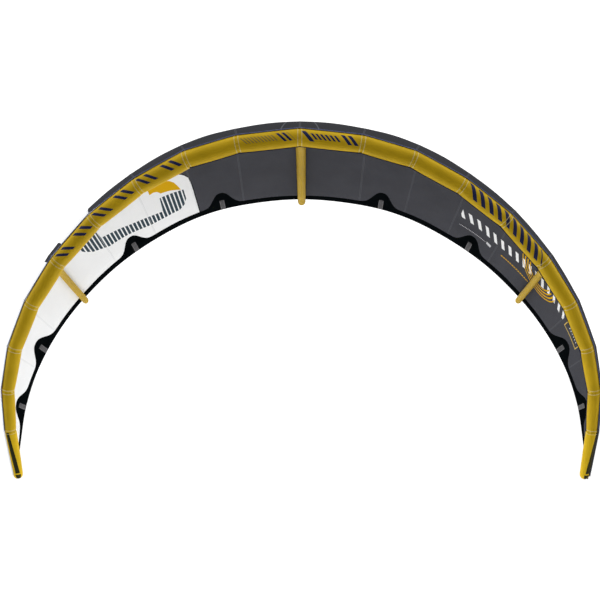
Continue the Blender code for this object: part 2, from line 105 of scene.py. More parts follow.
# --- cloth detail
CLOTH_TOP = 0.001  # depths below the CAD skin
CLOTH_FOOT = 0.002
CLOTH_FRONT_GAP = 0.001  # the sheet stops short of the CAD skin's edges
CLOTH_REAR_GAP = 0.003
BILLOW = 0.005  # swell of the canopy between two seams
RIDGE = 0.0006  # height of a row of stitches
RIDGE_SPREAD = 0.0018
SEAM_ROWS = (0.0, 0.004, 0.006, 0.008, 0.011, 0.014, 0.02)
CANOPY_SEAM_RIDGE = 0.004  # from a canopy seam to its rows of stitches
ROWS_PER_PANEL = 14
CANOPY_COLUMNS = 56
COLUMN_BUNCHING = 1.3  # columns closer towards the front
BAND_TOP = 0.0001
BAND_FOOT = 0.0029
BAND_PLY = 0.0006
BAND_COLUMNS = 9
BAND_STEP = 0.01
BAND_WIDTHS = ((0, 0.062), (2, 0.078), (4, 0.076), (5.5, 0.066), (8, 0.06), (9, 0.05), (10, 0.03))
BUMPS = ((0.255, 0.084), (0.25, 0.084), (0.238, 0.1), (0.215, 0.1))  # height and half width
BUMP_SHARPNESS = 2.6
POCKET_LENGTH = 0.15
POCKET_HALF_WIDTH = 0.019
POCKET_TOP = 0.0031
POCKET_FOOT = 0.0075
POCKET_REAR_GAP = 0.004
POCKET_CROWN = 0.003  # its middle above its sides
POCKET_ROUND = 0.012  # front corners drawn back
POCKET_RAMP = 0.01
TAPE_LAP = 0.004
TAPE_LIFT = 0.0001
TAPE_WIDTH = 0.017
TAPE_WIDTH_TIP = 0.006
TAPE_END = 9  # seam where the edge tape ends
TAPE_PLY = 0.0006

# --- casing detail
CASING_SIDES = 48
CASING_PLY = 0.0012
CASING_ROWS = (0.0, 0.002, 0.005, 0.008, 0.0105, 0.013, 0.0155, 0.018, 0.026, 0.036, 0.052, 0.08, 0.12)
CASING_GAP = 0.0002  # between two segments
CAP_ANGLES = (15, 30, 45, 58, 70, 80)
STITCH_FROM_SEAM = 0.013
STITCH_SPREAD = 0.0022
UNSTITCHED = 0.1  # a distance at which no stitches are drawn
SEAM_DIP = 0.0012
SEAM_DIP_SPREAD = 0.003
PUCKER = 0.0028
PUCKER_REACH = 0.04
PUCKER_COUNT = 9
PUCKER_SHIFT = 2.3  # turns the gathers from seam to seam
FULLNESS = 0.0012
FULLNESS_REACH = 0.05
HEM = 0.0018  # the tip segment's cloth lies over its neighbour's
# piping under the casing that is also a painted shadow line
PIPING_SHADOW_END = {"left": 2, "right": 9}  # seams
PIPING_SHADOW_HEIGHT = 0.008
PIPING_SHADOW_HALF = 0.0012
PIPING_SHADOW_INSET = 0.004
PIPING_SHADOW_SIDES = 8

# --- strut, hose and tab detail
STRUT_SIDES = 32
STRUT_ROWS = 44
STRUT_BUNCHING = 1.25
NOSE_ANGLES = (12, 25, 38, 50, 62, 73, 82)
FLANK_START = 0.985  # sine where the side seams stand out
FLANK_RISE = 0.05
HOSE_STEPS = 110
HOSE_SIDES = 16
HOSE_RADIUS = 0.0064
HOSE_RIB = 0.0006
CLAMP_STEPS = 8
CLAMP_RADIUS = 0.0082
TAB_HALF_WIDTH = 0.013
TAB_NARROWED = 0.8  # share of its width at the loop's end
TAB_NARROW_FROM = 0.03
TAB_HALF_PLY = 0.0007
TAB_END = 0.04
TAB_HALF_LOOP = ((0.0, 0.001), (0.012, 0.001), (0.022, 0.0016), (0.03, 0.004), (0.036, 0.0042),
                 (0.0392, 0.0024))

# --- valve: radius and height of each turned profile's corners
NECK = ((0.0175, -0.0018), (0.023, -0.0018), (0.023, 0.0012), (0.0284, 0.0012), (0.029, 0.0018),
        (0.0288, 0.003), (0.0278, 0.0035), (0.024, 0.0036), (0.0231, 0.0046), (0.0229, 0.0084),
        (0.0223, 0.009), (0.0175, 0.009))
TWIST_LOCK = ((0.012, -0.0012), (0.0169, -0.0012), (0.0169, 0.0094), (0.0218, 0.0095),
              (0.0225, 0.0101), (0.0225, 0.0119), (0.0218, 0.0125), (0.0126, 0.0125), (0.012, 0.0119))
CAP = ((0.006, 0.0065), (0.0092, 0.0067), (0.0095, 0.0072), (0.0111, 0.0127), (0.0218, 0.0129),
       (0.0225, 0.0134), (0.0225, 0.0153), (0.0217, 0.0163), (0.02, 0.0169), (0.014, 0.0171),
       (0.0125, 0.0166), (0.006, 0.0166))
GRIP_RADIUS = 0.0217  # knurls and lugs start here
KNURL_DEPTH = 0.0004
LUG_REACH = 0.004
LUG_SHARPNESS = 24

# --- studio
FLOOR_Z = -4.2
FLOOR_REACH = 28.0
FLOOR_FRONT = -1.5
AIR_STRENGTH = 1.3
AIR_FRONT_STRENGTH = 0.04
AIR_DIM_FROM, AIR_DIM_TO = -0.85, 0.0  # y of the viewing direction
AIR_TILT_DEG = 20
LIGHTS = (  # name, place, target, width, watts
    ("inside", (0, 0.8, -3.9), (0, 0.8, 0), 2.5, 33),
    ("rim_left", (-7.0, 2.5, 0.5), (0, 0.5, -1.0), 5.0, 80),
    ("rim_right", (7.0, 2.5, 0.5), (0, 0.5, -1.0), 5.0, 80),
)
CAMERA_PLACE = (0.09, -10.0, -1.0725)
CAMERA_AIM = (0.001, 0.0, -1.0725)
CAMERA_LENS = 90.9

# --- colours, linear
GOLD = (0.66, 0.43, 0.014)
GOLD_STRUT = (0.5, 0.33, 0.034)
GOLD_TIP = (0.8, 0.53, 0.016)
CHARCOAL = (0.063, 0.064, 0.074)
# painted shade: the canopy's outer face darker than its inner face
CHARCOAL_OUTER_SHADED = (0.04, 0.041, 0.046)
WHITE = (0.93, 0.94, 0.95)
BLACK = (0.0026, 0.0036, 0.0042)
NAVY = (0.018, 0.027, 0.095)
SLATE = (0.046, 0.07, 0.089)
OCHRE = (0.72, 0.405, 0.006)
GREY = (0.088, 0.086, 0.09)
FADED_PRINT = (0.31, 0.22, 0.06)
PALE_PRINT = (0.62, 0.62, 0.64)
OUTLINE_PRINT = (0.62, 0.44, 0.12)
# painted shade down each tip and over its end
TIP_PAINTED_SHADE = (0.022, 0.026, 0.01)
GOLD_THREAD = (0.8, 0.7, 0.36)

Section = namedtuple("Section", "le smooth te along normal back chord radius")


# ---- wing formulas, as in the CAD model
def lerp(a, b, f):
    return a + (b - a) * f


def clamp(x):
    return min(max(x, 0.0), 1.0)


def catmull(points, s):
    i = min(max(int(s), 0), len(points) - 4)
    f = s - i
    p0, p1, p2, p3 = points[i:i + 4]
    return 0.5 * (2 * p1 + (p2 - p0) * f + (2 * p0 - 5 * p1 + 4 * p2 - p3) * f ** 2
                  + (3 * p1 - p0 - 3 * p2 + p3) * f ** 3)


def arc(s):
    """Metres along the leading edge from the centre."""
    i = min(int(s), PANELS - 1)
    return sum(PANEL_LENGTHS[:i]) + (s - i) * PANEL_LENGTHS[i]


def seam_points():
    x = z = 0.0
    points = [Vector((0, 0, 0))]
    for i, (length, slope) in enumerate(zip(PANEL_LENGTHS, PANEL_SLOPES_DEG)):
        x += length * math.cos(math.radians(slope))
        z -= length * math.sin(math.radians(slope))
        y = SWEEP_BACK * (arc(i + 1) / HALF_ARC) ** SWEEP_POWER
        points.append(Vector((x, y, z)))
    return points


def seam_tangents(points):
    panels = [(b - a).normalized() for a, b in zip(points, points[1:])]
    joints = [(a + b).normalized() for a, b in zip(panels, panels[1:])]
    return [Vector((1, 0, 0))] + joints + [panels[-1]]


def trailing_points(points):
    out = []
    for i, le in enumerate(points):
        f = arc(i) / HALF_ARC
        length = lerp(CHORD_TIP, CHORD_CENTRE, 1 - f ** CHORD_POWER)
        toe = math.radians(0 if i == 0 else lerp(TOE_OUT_DEG, TOE_OUT_TIP_DEG, f ** TOE_OUT_POWER))
        pitch = math.radians(PITCH_DEG)
        run = Vector((math.sin(toe), math.cos(toe) * math.cos(pitch), -math.cos(toe) * math.sin(pitch)))
        out.append(le + run * length)
    return out


def mirrored_guide(points):
    first = Vector((-points[1].x, points[1].y, points[1].z))
    return [first] + points + [2 * points[-1] - points[-2]]


SEAMS = seam_points()
SMOOTH_EDGE = mirrored_guide(SEAMS)
TANGENTS = seam_tangents(SEAMS)
TRAILING = mirrored_guide(trailing_points(SEAMS))


@lru_cache(maxsize=None)
def section(s):
    i = min(int(s), PANELS - 1)
    f = s - i
    le = lerp(SEAMS[i], SEAMS[i + 1], f)
    te = catmull(TRAILING, s)
    along = lerp(TANGENTS[i], TANGENTS[i + 1], f).normalized()
    normal = along.cross(te - le).normalized()
    back = normal.cross(along)
    taper = (arc(s) / HALF_ARC) ** TUBE_TAPER_POWER
    radius = lerp(TUBE_RADIUS_CENTRE, TUBE_RADIUS_TIP, taper)
    return Section(le, catmull(SMOOTH_EDGE, s) - le, te, along, normal, back, (te - le).dot(back), radius)


def at(sec, w, n, a=0.0):
    return sec.le + (sec.te - sec.le) * (w / sec.chord) + sec.normal * n + sec.along * a


def hermite(w, w0, n0, m0, w1, n1, m1):
    f = (w - w0) / (w1 - w0)
    return ((2 * f ** 3 - 3 * f ** 2 + 1) * n0 + (f ** 3 - 2 * f ** 2 + f) * (w1 - w0) * m0
            + (3 * f ** 2 - 2 * f ** 3) * n1 + (f ** 3 - f ** 2) * (w1 - w0) * m1)


def canopy_start(sec):
    angle = math.radians(LEAVING_ANGLE_DEG)
    reach = sec.radius + CANOPY_LIFT + FABRIC
    return -reach * math.sin(angle), reach * math.cos(angle), math.tan(angle)


def canopy_height(sec, s, w):
    w0, n0, m0 = canopy_start(sec)
    crest = CREST * sec.chord
    height = lerp(CAMBER, CAMBER_TIP, (arc(s) / HALF_ARC) ** CAMBER_POWER) * sec.chord
    if w < crest:
        return hermite(w, w0, n0, m0, crest, height, 0.0)
    return hermite(w, crest, height, 0.0, sec.chord, 0.0, -TRAILING_SLOPE)


def from_seam(s):
    """Metres along the leading edge to the nearest seam."""
    i = min(int(s), PANELS - 1)
    return min(s - i, i + 1 - s) * PANEL_LENGTHS[i]


def cloth_point(s, w, depth):
    """Point in the canopy's cloth at signed station s, depth below the CAD skin.

    The cloth swells a little between the seams.
    """
    side, s = (-1 if s < 0 else 1), abs(s)
    sec = section(s)
    step = 0.001
    here = canopy_height(sec, s, w)
    lean = math.atan((canopy_height(sec, s, w + step) - here) / step)
    open_share = clamp((w - sec.radius) / (sec.chord - sec.radius))
    depth -= BILLOW * math.sin(math.pi * (s % 1)) ** 2 * 4 * open_share * (1 - open_share)
    f = clamp((w - sec.radius) / (ARCH_BLEND * sec.chord))
    arch = sec.smooth * (f * f * (3 - 2 * f)) * max(0, 1 - w / sec.chord)
    point = at(sec, w + depth * math.sin(lean), here - depth * math.cos(lean)) + arch
    return Vector((point.x * side, point.y, point.z))


def strut_axis_height(sec, s, w, radius):
    start = sec.radius
    under = canopy_height(sec, s, w) - FABRIC - STRUT_CLEARANCE - radius
    f = clamp((w - start) / STRUT_SETTLE)
    at_tube = canopy_height(sec, s, start) - FABRIC - STRUT_CLEARANCE - radius
    return under - (at_tube - STRUT_FRONT_HEIGHT) * (1 - f) ** 2


def dipped(sec, degrees):
    dip = math.radians(degrees)
    return sec.back * math.cos(dip) - sec.normal * math.sin(dip)


# ---- mesh helpers
SHARP_DEG = 40
WORDS = {-1: "left", 1: "right"}


def steps(start, end, count):
    return [lerp(start, end, i / count) for i in range(count + 1)]


def piece(name, verts, faces, mat, slot, nodes=(), side=1, body="wing", uvs=None):
    """One closed, smooth-shaded body that rides on a CAD body; side -1 mirrors it to the left.

    uvs gives maps by name, one (u, v) for each vertex.
    """
    mesh = bpy.data.meshes.new(name)
    mesh.from_pydata([(v[0] * side, v[1], v[2]) for v in verts], [], faces)
    for layer, values in (uvs or {}).items():
        corners = np.zeros(len(mesh.loops), dtype=np.int32)
        mesh.loops.foreach_get("vertex_index", corners)
        flat = np.array(values, dtype=np.float32)[corners].ravel()
        mesh.uv_layers.new(name=layer).data.foreach_set("uv", flat)
    body_mesh = bmesh.new()
    body_mesh.from_mesh(mesh)
    bmesh.ops.recalc_face_normals(body_mesh, faces=body_mesh.faces)
    body_mesh.to_mesh(mesh)
    body_mesh.free()
    mesh.shade_smooth()
    mesh.set_sharp_from_angle(angle=math.radians(SHARP_DEG))
    mesh.materials.append(mat)
    obj = bpy.data.objects.new(name, mesh)
    scene.collection.objects.link(obj)
    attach(obj, body)
    if nodes:
        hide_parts(*nodes)
    return obj


def skin(rings, closed=False, discs=()):
    """Faces through rings of equal count; the two rings in discs are closed, not joined."""
    count = len(rings[0])
    pairs = list(zip(range(len(rings)), range(1, len(rings))))
    if closed:
        pairs.append((len(rings) - 1, 0))
    faces = []
    for p, q in pairs:
        if (p, q) != discs:
            for k in range(count):
                m = (k + 1) % count
                faces.append((p * count + k, p * count + m, q * count + m, q * count + k))
    faces += [tuple(range(p * count, (p + 1) * count)) for p in discs]
    return [v for ring in rings for v in ring], faces


def slab(top, bottom):
    """Closed solid between two grids of the same shape."""
    rows, cols = len(top), len(top[0])
    verts = [v for row in top for v in row] + [v for row in bottom for v in row]
    low = rows * cols
    faces = []
    for i in range(rows - 1):
        for k in range(cols - 1):
            a, b = i * cols + k, (i + 1) * cols + k
            faces.append((a, a + 1, b + 1, b))
            faces.append((low + a, low + b, low + b + 1, low + a + 1))
    rim = list(range(cols)) + [i * cols + cols - 1 for i in range(1, rows)]
    rim += [(rows - 1) * cols + k for k in range(cols - 2, -1, -1)]
    rim += [i * cols for i in range(rows - 2, 0, -1)]
    for a, b in zip(rim, rim[1:] + rim[:1]):
        faces.append((a, low + a, low + b, b))
    return verts, faces


def loft(rings):
    """Closed body through rings of equal count, with a flat cap at each end."""
    return skin(rings, discs=(0, len(rings) - 1))


# ---- material helpers
class Nodes:
    """A node tree, with short calls for its nodes."""

    def __init__(self, tree):
        self.tree = tree

    def node(self, kind, inputs=(), **settings):
        new = self.tree.nodes.new("ShaderNode" + kind)
        for key, value in settings.items():
            setattr(new, key, value)
        for key, value in dict(inputs).items():
            self.feed(new.inputs[key], value)
        return new

    def feed(self, socket, value):
        if isinstance(value, bpy.types.NodeSocket):
            self.tree.links.new(value, socket)
        elif isinstance(value, tuple) and len(value) == 3 and socket.type == "RGBA":
            socket.default_value = (*value, 1)
        else:
            socket.default_value = value


class Shader(Nodes):
    """A Principled material."""

    def __init__(self, name, **sockets):
        self.material = bpy.data.materials.new(name)
        self.material.use_nodes = True
        super().__init__(self.material.node_tree)
        self.principled = self.tree.nodes["Principled BSDF"]
        for socket, value in sockets.items():
            self.principled.inputs[socket.replace("_", " ")].default_value = value

    def math(self, operation, *values):
        return self.node("Math", dict(enumerate(values)), operation=operation).outputs[0]

    def uv(self, layer):
        split = self.node("SeparateXYZ", {0: self.node("UVMap", uv_map=layer).outputs[0]})
        return split.outputs[0], split.outputs[1]

    def between(self, x, low, high):
        return self.times(self.math("GREATER_THAN", x, low), self.math("LESS_THAN", x, high))

    def times(self, a, b):
        """The product; of two masks, where both are 1."""
        return self.math("MULTIPLY", a, b)

    def either(self, a, b):
        return self.math("MAXIMUM", a, b)

    def near(self, x, centre, reach):
        return self.math("LESS_THAN", self.math("ABSOLUTE", self.math("SUBTRACT", x, centre)), reach)

    def stripes(self, x, pitch, share):
        return self.math("LESS_THAN", self.math("FRACT", self.math("DIVIDE", x, pitch)), share)

    def curve(self, x, points):
        """y over x through the points, straight between them."""
        xs, ys = [p[0] for p in points], [p[1] for p in points]
        low, high, foot, top = min(xs), max(xs), min(ys), max(ys)
        share = self.node("MapRange", {0: x, 1: low, 2: high}).outputs[0]
        node = self.node("FloatCurve", {"Value": share})
        line = node.mapping.curves[0]
        for _ in range(len(points) - 2):
            line.points.new(0.5, 0.5)
        for spot, (px, py) in zip(line.points, sorted(points)):
            spot.location = ((px - low) / (high - low), (py - foot) / (top - foot))
            spot.handle_type = "VECTOR"
        node.mapping.update()
        return self.node("MapRange", {0: node.outputs[0], 3: foot, 4: top}).outputs[0]

    def mix(self, mask, a, b):
        node = self.node("Mix", data_type="RGBA")
        for index, value in ((0, mask), (6, a), (7, b)):
            self.feed(node.inputs[index], value)
        return node.outputs[2]

    def noise(self, scale, detail=3.0):
        place = self.node("TexCoord").outputs["Object"]
        return self.node("TexNoise", {"Scale": scale, "Detail": detail, "Vector": place}).outputs[0]

    def vary(self, colour, amount, scale):
        """The colour, lighter and darker in soft patches."""
        spread = self.spread(self.noise(scale), 1 - amount, 1 + amount)
        return self.node("Mix", {0: 1.0, 6: colour, 7: spread}, data_type="RGBA",
                         blend_type="MULTIPLY").outputs[2]

    def spread(self, noise, low, high):
        """The noise's usual range, stretched to run from low to high."""
        return self.node("MapRange", {0: noise, 1: 0.3, 2: 0.7, 3: low, 4: high}).outputs[0]

    def weave(self, u, v, pitch):
        """Height of a plain weave: crossed waves."""
        turn = math.tau / pitch
        across = self.math("SINE", self.times(u, turn))
        down = self.math("SINE", self.times(v, turn))
        return self.times(across, down)

    def finish(self, colour, height, roughness=None, strength=0.25, distance=0.0006):
        """The material with this colour, bump height and range of roughness."""
        self.feed(self.principled.inputs["Base Color"], colour)
        bump = self.node("Bump", {"Height": height, "Strength": strength, "Distance": distance})
        self.feed(self.principled.inputs["Normal"], bump.outputs[0])
        if roughness:
            low, high = roughness
            self.feed(self.principled.inputs["Roughness"], self.spread(self.noise(22.0), low, high))
        return self.material


# ---- materials
NAVY_BARS = (  # first and last metre, pitch, bar share, half height in turns
    (-1.838, -0.8, 0.185, 0.14, 0.09),
    (-1.778, -0.8, 0.185, 0.14, 0.09),
    (-0.13, -0.055, 0.036, 0.55, 0.08),
    (0.035, 0.07, 0.04, 0.8, 0.09),
    (0.085, 0.255, 0.03, 0.55, 0.05),
    (0.29, 0.375, 0.044, 0.6, 0.085),
    (1.2, 1.86, 0.072, 0.5, 0.115),
)
GREY_BARS = (-0.37, -0.15, 0.022, 0.5, 0.055)
FRONT_SHARE = 0.75  # where a turn round the tube faces forward
BAR_SLANT = 0.35  # metres a turn
STITCH_HALF = 0.003
TUBE_GIRTH = 0.36
TIP_GIRTH = 0.2
TIP_SHADE_BANDS = {"left": (0.832, 0.755), "right": (0.915, 0.85)}  # turns of the painted shade band, top and end
TIP_SHADE_BAND_HALF = (0.048, 0.072)
TIP_SHADE_BAND_END = 9.93  # stations
TIP_SHADE_PATCH_START = 9.96
TIP_SHADE_PATCH_HALF = 0.09  # of a turn
CLOTH_WEAVE = 0.0024
RIPSTOP_PITCH = 0.006
RIPSTOP_SHARE = 0.14


def bars(shader, u, turn, row):
    first, last, pitch, share, half = row
    shift = shader.times(shader.math("SUBTRACT", turn, FRONT_SHARE), BAR_SLANT)
    slanted = shader.math("ADD", u, shift)
    cut = shader.stripes(shader.math("SUBTRACT", slanted, first), pitch, share)
    cut = shader.times(cut, shader.between(slanted, first, last))
    return shader.times(cut, shader.near(turn, FRONT_SHARE, half))


def gold_shader(name, tint):
    return Shader(name, Roughness=0.42, Sheen_Weight=0.45, Sheen_Roughness=0.4, Specular_IOR_Level=0.05,
                  Sheen_Tint=tint)


def gold_cloth(name, base, marked=False):
    """Laminated casing cloth: satin, fine weave, pale rows of stitches, plain printed bars."""
    shader = gold_shader(name, (1.0, 0.62, 0.02, 1))
    u, turn = shader.uv("along_turn")
    off, _ = shader.uv("seam_station")
    colour = shader.vary(base, 0.1, 5.0)
    if marked:
        colour = shader.mix(bars(shader, u, turn, GREY_BARS), colour, FADED_PRINT)
        navy = reduce(shader.either, [bars(shader, u, turn, row) for row in NAVY_BARS])
        colour = shader.mix(navy, colour, NAVY)
    stitch = shader.near(off, STITCH_FROM_SEAM, STITCH_HALF)
    thread = shader.times(stitch, shader.stripes(turn, 1 / 96, 0.72))
    colour = shader.mix(shader.times(thread, 0.75), colour, GOLD_THREAD)
    weave = shader.weave(u, shader.times(turn, TUBE_GIRTH), CLOTH_WEAVE)
    height = shader.math("ADD", weave, shader.times(thread, 1.5))
    return shader.finish(colour, height, (0.36, 0.5))


def tip_cloth(name, shaded_turns):
    """The tips' brighter cloth, with a painted shade band down each tip that widens to a painted shade patch
    at its end.
    """
    shader = gold_shader(name, (1.0, 0.65, 0.02, 1))
    u, turn = shader.uv("along_turn")
    off, station = shader.uv("seam_station")
    colour = shader.vary(GOLD_TIP, 0.08, 6.0)
    first, last = shaded_turns
    slim, wide = TIP_SHADE_BAND_HALF
    seam, tip = PANELS - 1, PANELS
    width = shader.node("MapRange", {0: station, 1: seam, 2: tip, 3: slim, 4: wide}).outputs[0]
    middle = shader.node("MapRange", {0: station, 1: seam, 2: tip, 3: first, 4: last}).outputs[0]
    # painted shade: a dark band down the tip, and a dark patch at its end
    shade_band = shader.times(shader.near(turn, middle, width), shader.between(station, seam, TIP_SHADE_BAND_END))
    end = shader.times(shader.math("GREATER_THAN", station, TIP_SHADE_PATCH_START),
                      shader.near(turn, last, TIP_SHADE_PATCH_HALF))
    colour = shader.mix(shader.either(shade_band, end), colour, TIP_PAINTED_SHADE)
    stitch = shader.times(shader.near(off, 0.01, 0.0016), shader.stripes(turn, 1 / 80, 0.7))
    colour = shader.mix(stitch, colour, GOLD_THREAD)
    weave = shader.weave(u, shader.times(turn, TIP_GIRTH), CLOTH_WEAVE)
    return shader.finish(colour, shader.math("ADD", weave, stitch), (0.36, 0.5))


# canopy printing: u metres along the leading edge from the centre, w metres behind it
WHITE_EDGE = ((0.0, -4.0), (0.15, -3.9), (0.4, -2.75), (0.54, -2.125), (0.565, -2.06), (0.6, -2.0),
              (0.642, -1.988), (0.725, -1.975), (1.0, -1.975))  # share of the chord, station
WHITE_BORDER_HALF = 0.01  # of a station
WHITE_BORDER_FROM = 0.17  # share of the chord
DARK_PATCH = (-5.15, -4.72, 0.11)  # first and last station, share of the chord
STRIPE_LOWER = ((-1.71, 0.66), (-1.664, 0.797), (-1.611, 0.903), (-1.491, 1.035), (-1.317, 1.123),
                (-1.142, 1.224), (-1.017, 1.263), (-0.9, 1.285), (-0.855, 1.25), (-0.825, 1.17))
STRIPE_UPPER = ((-1.71, 0.62), (-1.525, 0.62), (-1.512, 0.845), (-1.28, 1.02), (-1.02, 1.166),
                (-1.008, 0.975), (-0.825, 1.045))
STRIPES = (-1.7, -0.828, 0.03, 0.68)  # first, last, pitch, share
LEAF_LOWER = ((-1.07, 0.845), (-1.035, 0.85), (-1.008, 0.875), (-0.989, 0.926), (-0.915, 0.969),
              (-0.848, 1.027), (-0.846, 1.028))
LEAF_UPPER = ((-1.07, 0.6), (-0.98, 0.745), (-0.93, 0.8), (-0.906, 0.828), (-0.878, 0.885),
              (-0.86, 0.955), (-0.846, 1.024))
LEAF = (-1.065, -0.8465)
BARS_MIDDLE = ((1.17, 0.985), (1.37, 0.95), (1.52, 0.92), (1.68, 0.86), (1.85, 0.78), (1.94, 0.745),
               (2.04, 0.69), (2.26, 0.64))
BARS = (1.17, 2.25, 0.08, 0.4, 0.052)  # first, last, pitch, share, half height
BARS_SLANT = 0.45
DOTS_MIDDLE = ((1.18, 1.145), (1.42, 1.085), (1.48, 1.07))
DOTS = (1.19, 1.42, 0.012, 0.45, 0.005)
BLOCK_MIDDLE = 1.078
BLOCK = (1.432, 1.475, 1.0, 1.0, 0.016)  # a single bar
DASHES_MIDDLE = ((1.57, 1.045), (1.7, 1.001), (1.86, 0.94))
DASHES = (1.575, 1.855, 0.021, 0.75, 0.006)
ARCS_MIDDLE = (1.9, 0.7)
ARCS = (0.1, 0.205, 0.028, 0.42)  # inner and outer radius, pitch, share
OUTLINE_SLOPE = 0.25
OUTLINE_FROM = 2.3
OUTLINE = (2.285, 2.485, 0.4, 0.7)  # first and last u, lowest and highest w
OUTLINE_INNER = (2.293, 2.477, 0.39, 0.69)
TICKS_MIDDLE = 0.625
TICKS = (2.32, 2.45, 0.022, 0.4, 0.018)
VEE_MIDDLE = 0.12  # the pale vee of seams by the centre
VEE_SLOPE = 0.17
VEE_HALF = 0.0035
VEE_END = 0.55


def printed_row(shader, x, u, w, middle, row):
    """A row of bars round its middle line, cut along x."""
    first, last, pitch, share, half = row
    line = shader.times(shader.near(w, middle, half), shader.between(u, first, last))
    return shader.times(line, shader.stripes(x, pitch, share))


def left_printing(shader, colour, u, w):
    """A striped slate panel and an ochre leaf on the white."""
    first, last, pitch, share = STRIPES
    within = shader.between(w, shader.curve(u, STRIPE_UPPER), shader.curve(u, STRIPE_LOWER))
    within = shader.times(within, shader.between(u, first, last))
    colour = shader.mix(shader.times(within, shader.stripes(u, pitch, share)), colour, SLATE)
    leaf = shader.between(w, shader.curve(u, LEAF_UPPER), shader.curve(u, LEAF_LOWER))
    return shader.mix(shader.times(leaf, shader.between(u, *LEAF)), colour, OCHRE)


def right_printing(shader, colour, u, w):
    """Slanted white bars, dots, dashes, arcs and an outlined box of ticks on the charcoal."""
    slanted = shader.math("SUBTRACT", u, shader.times(w, BARS_SLANT))
    row = printed_row(shader, slanted, u, w, shader.curve(u, BARS_MIDDLE), BARS)
    colour = shader.mix(row, colour, WHITE)
    dots = printed_row(shader, u, u, w, shader.curve(u, DOTS_MIDDLE), DOTS)
    spot = printed_row(shader, u, u, w, BLOCK_MIDDLE, BLOCK)
    colour = shader.mix(shader.either(dots, spot), colour, PALE_PRINT)

    dashes = printed_row(shader, u, u, w, shader.curve(u, DASHES_MIDDLE), DASHES)
    squares = [shader.math("POWER", shader.math("SUBTRACT", x, middle), 2.0)
               for x, middle in zip((u, w), ARCS_MIDDLE)]
    radius = shader.math("SQRT", shader.math("ADD", *squares))
    inner, outer, pitch, share = ARCS
    arcs = shader.times(shader.stripes(radius, pitch, share), shader.between(radius, inner, outer))
    arcs = shader.times(arcs, shader.math("GREATER_THAN", w, ARCS_MIDDLE[1]))
    colour = shader.mix(shader.either(dashes, arcs), colour, OCHRE)

    lean = shader.times(shader.math("SUBTRACT", u, OUTLINE_FROM), OUTLINE_SLOPE)
    level = shader.math("ADD", w, lean)
    boxes = [shader.times(shader.between(u, *box[:2]), shader.between(level, *box[2:]))
             for box in (OUTLINE, OUTLINE_INNER)]
    colour = shader.mix(shader.math("SUBTRACT", *boxes), colour, OUTLINE_PRINT)
    return shader.mix(printed_row(shader, u, u, level, TICKS_MIDDLE, TICKS), colour, WHITE)


def canopy_seams(shader, colour, white, station, u, w):
    """Pale seams in a vee by the centre strut, and a row of stitches along each panel seam."""
    from_centre = shader.math("ADD", shader.math("ABSOLUTE", u), shader.times(w, VEE_SLOPE))
    vee = shader.times(shader.near(from_centre, VEE_MIDDLE, VEE_HALF), shader.math("LESS_THAN", w, VEE_END))
    colour = shader.mix(shader.times(vee, 0.5), colour, (0.2, 0.21, 0.23))
    off = shader.times(shader.math("PINGPONG", station, 0.5), 0.35)
    thread_tone = shader.mix(white, (0.13, 0.135, 0.15), (0.62, 0.64, 0.66))
    stitches = shader.times(shader.near(off, 0.0035, 0.0014), 0.55)
    return shader.mix(stitches, colour, thread_tone)


def canopy_cloth():
    """Ripstop: charcoal, white on the outer left, with plain printed shapes."""
    shader = Shader("canopy_cloth", Roughness=0.55, Specular_IOR_Level=0.0)
    u, w = shader.uv("along_back")
    station, share = shader.uv("station_share")
    outer, _ = shader.uv("shaded_outer_face")
    edge = shader.curve(share, WHITE_EDGE)
    first, last, front = DARK_PATCH
    patch = shader.times(shader.between(station, first, last), shader.math("LESS_THAN", share, front))
    white = shader.times(shader.math("LESS_THAN", station, edge), shader.math("SUBTRACT", 1.0, patch))
    # painted shade: the charcoal is darker on the outer face
    charcoal = shader.mix(outer, CHARCOAL, CHARCOAL_OUTER_SHADED)
    colour = shader.mix(white, shader.vary(charcoal, 0.07, 4.0), shader.vary(WHITE, 0.02, 4.0))
    border = shader.times(shader.near(station, edge, WHITE_BORDER_HALF),
                         shader.math("GREATER_THAN", share, WHITE_BORDER_FROM))
    colour = shader.mix(border, colour, BLACK)
    colour = left_printing(shader, colour, u, w)
    colour = right_printing(shader, colour, u, w)
    colour = canopy_seams(shader, colour, white, station, u, w)
    grid = shader.either(*[shader.stripes(x, RIPSTOP_PITCH, RIPSTOP_SHARE) for x in (u, w)])
    height = shader.math("ADD", shader.times(shader.weave(u, w, 0.0012), 0.3), grid)
    colour = shader.mix(shader.times(grid, 0.06), colour, (0.3, 0.31, 0.33))
    return shader.finish(colour, height, (0.48, 0.62))


def band_cloth():
    """Black tape with two rows of stitches near its edge."""
    shader = Shader("band_cloth", Roughness=0.7, Specular_IOR_Level=0.0)
    u, w = shader.uv("along_back")
    colour = shader.vary(BLACK, 0.25, 9.0)
    rows = shader.either(shader.near(w, 0.008, 0.0009), shader.near(w, 0.014, 0.0009))
    stitch = shader.times(rows, shader.stripes(u, 0.004, 0.6))
    colour = shader.mix(shader.times(stitch, 0.6), colour, (0.02, 0.02, 0.022))
    height = shader.math("ADD", shader.weave(u, w, 0.0022), shader.times(stitch, 2.0))
    return shader.finish(colour, height, (0.62, 0.78))


def pocket_cloth():
    """Grey batten pocket, stitched down both sides."""
    shader = Shader("pocket_cloth", Roughness=0.6, Specular_IOR_Level=0.05)
    u, w = shader.uv("across_back")
    margin = shader.near(shader.math("ABSOLUTE", u), POCKET_HALF_WIDTH - 0.004, 0.0008)
    stitch = shader.times(margin, shader.stripes(w, 0.005, 0.6))
    colour = shader.mix(stitch, shader.vary(GREY, 0.1, 30.0), (0.3, 0.29, 0.31))
    height = shader.math("ADD", shader.weave(u, w, 0.002), stitch)
    return shader.finish(colour, height, (0.52, 0.68))


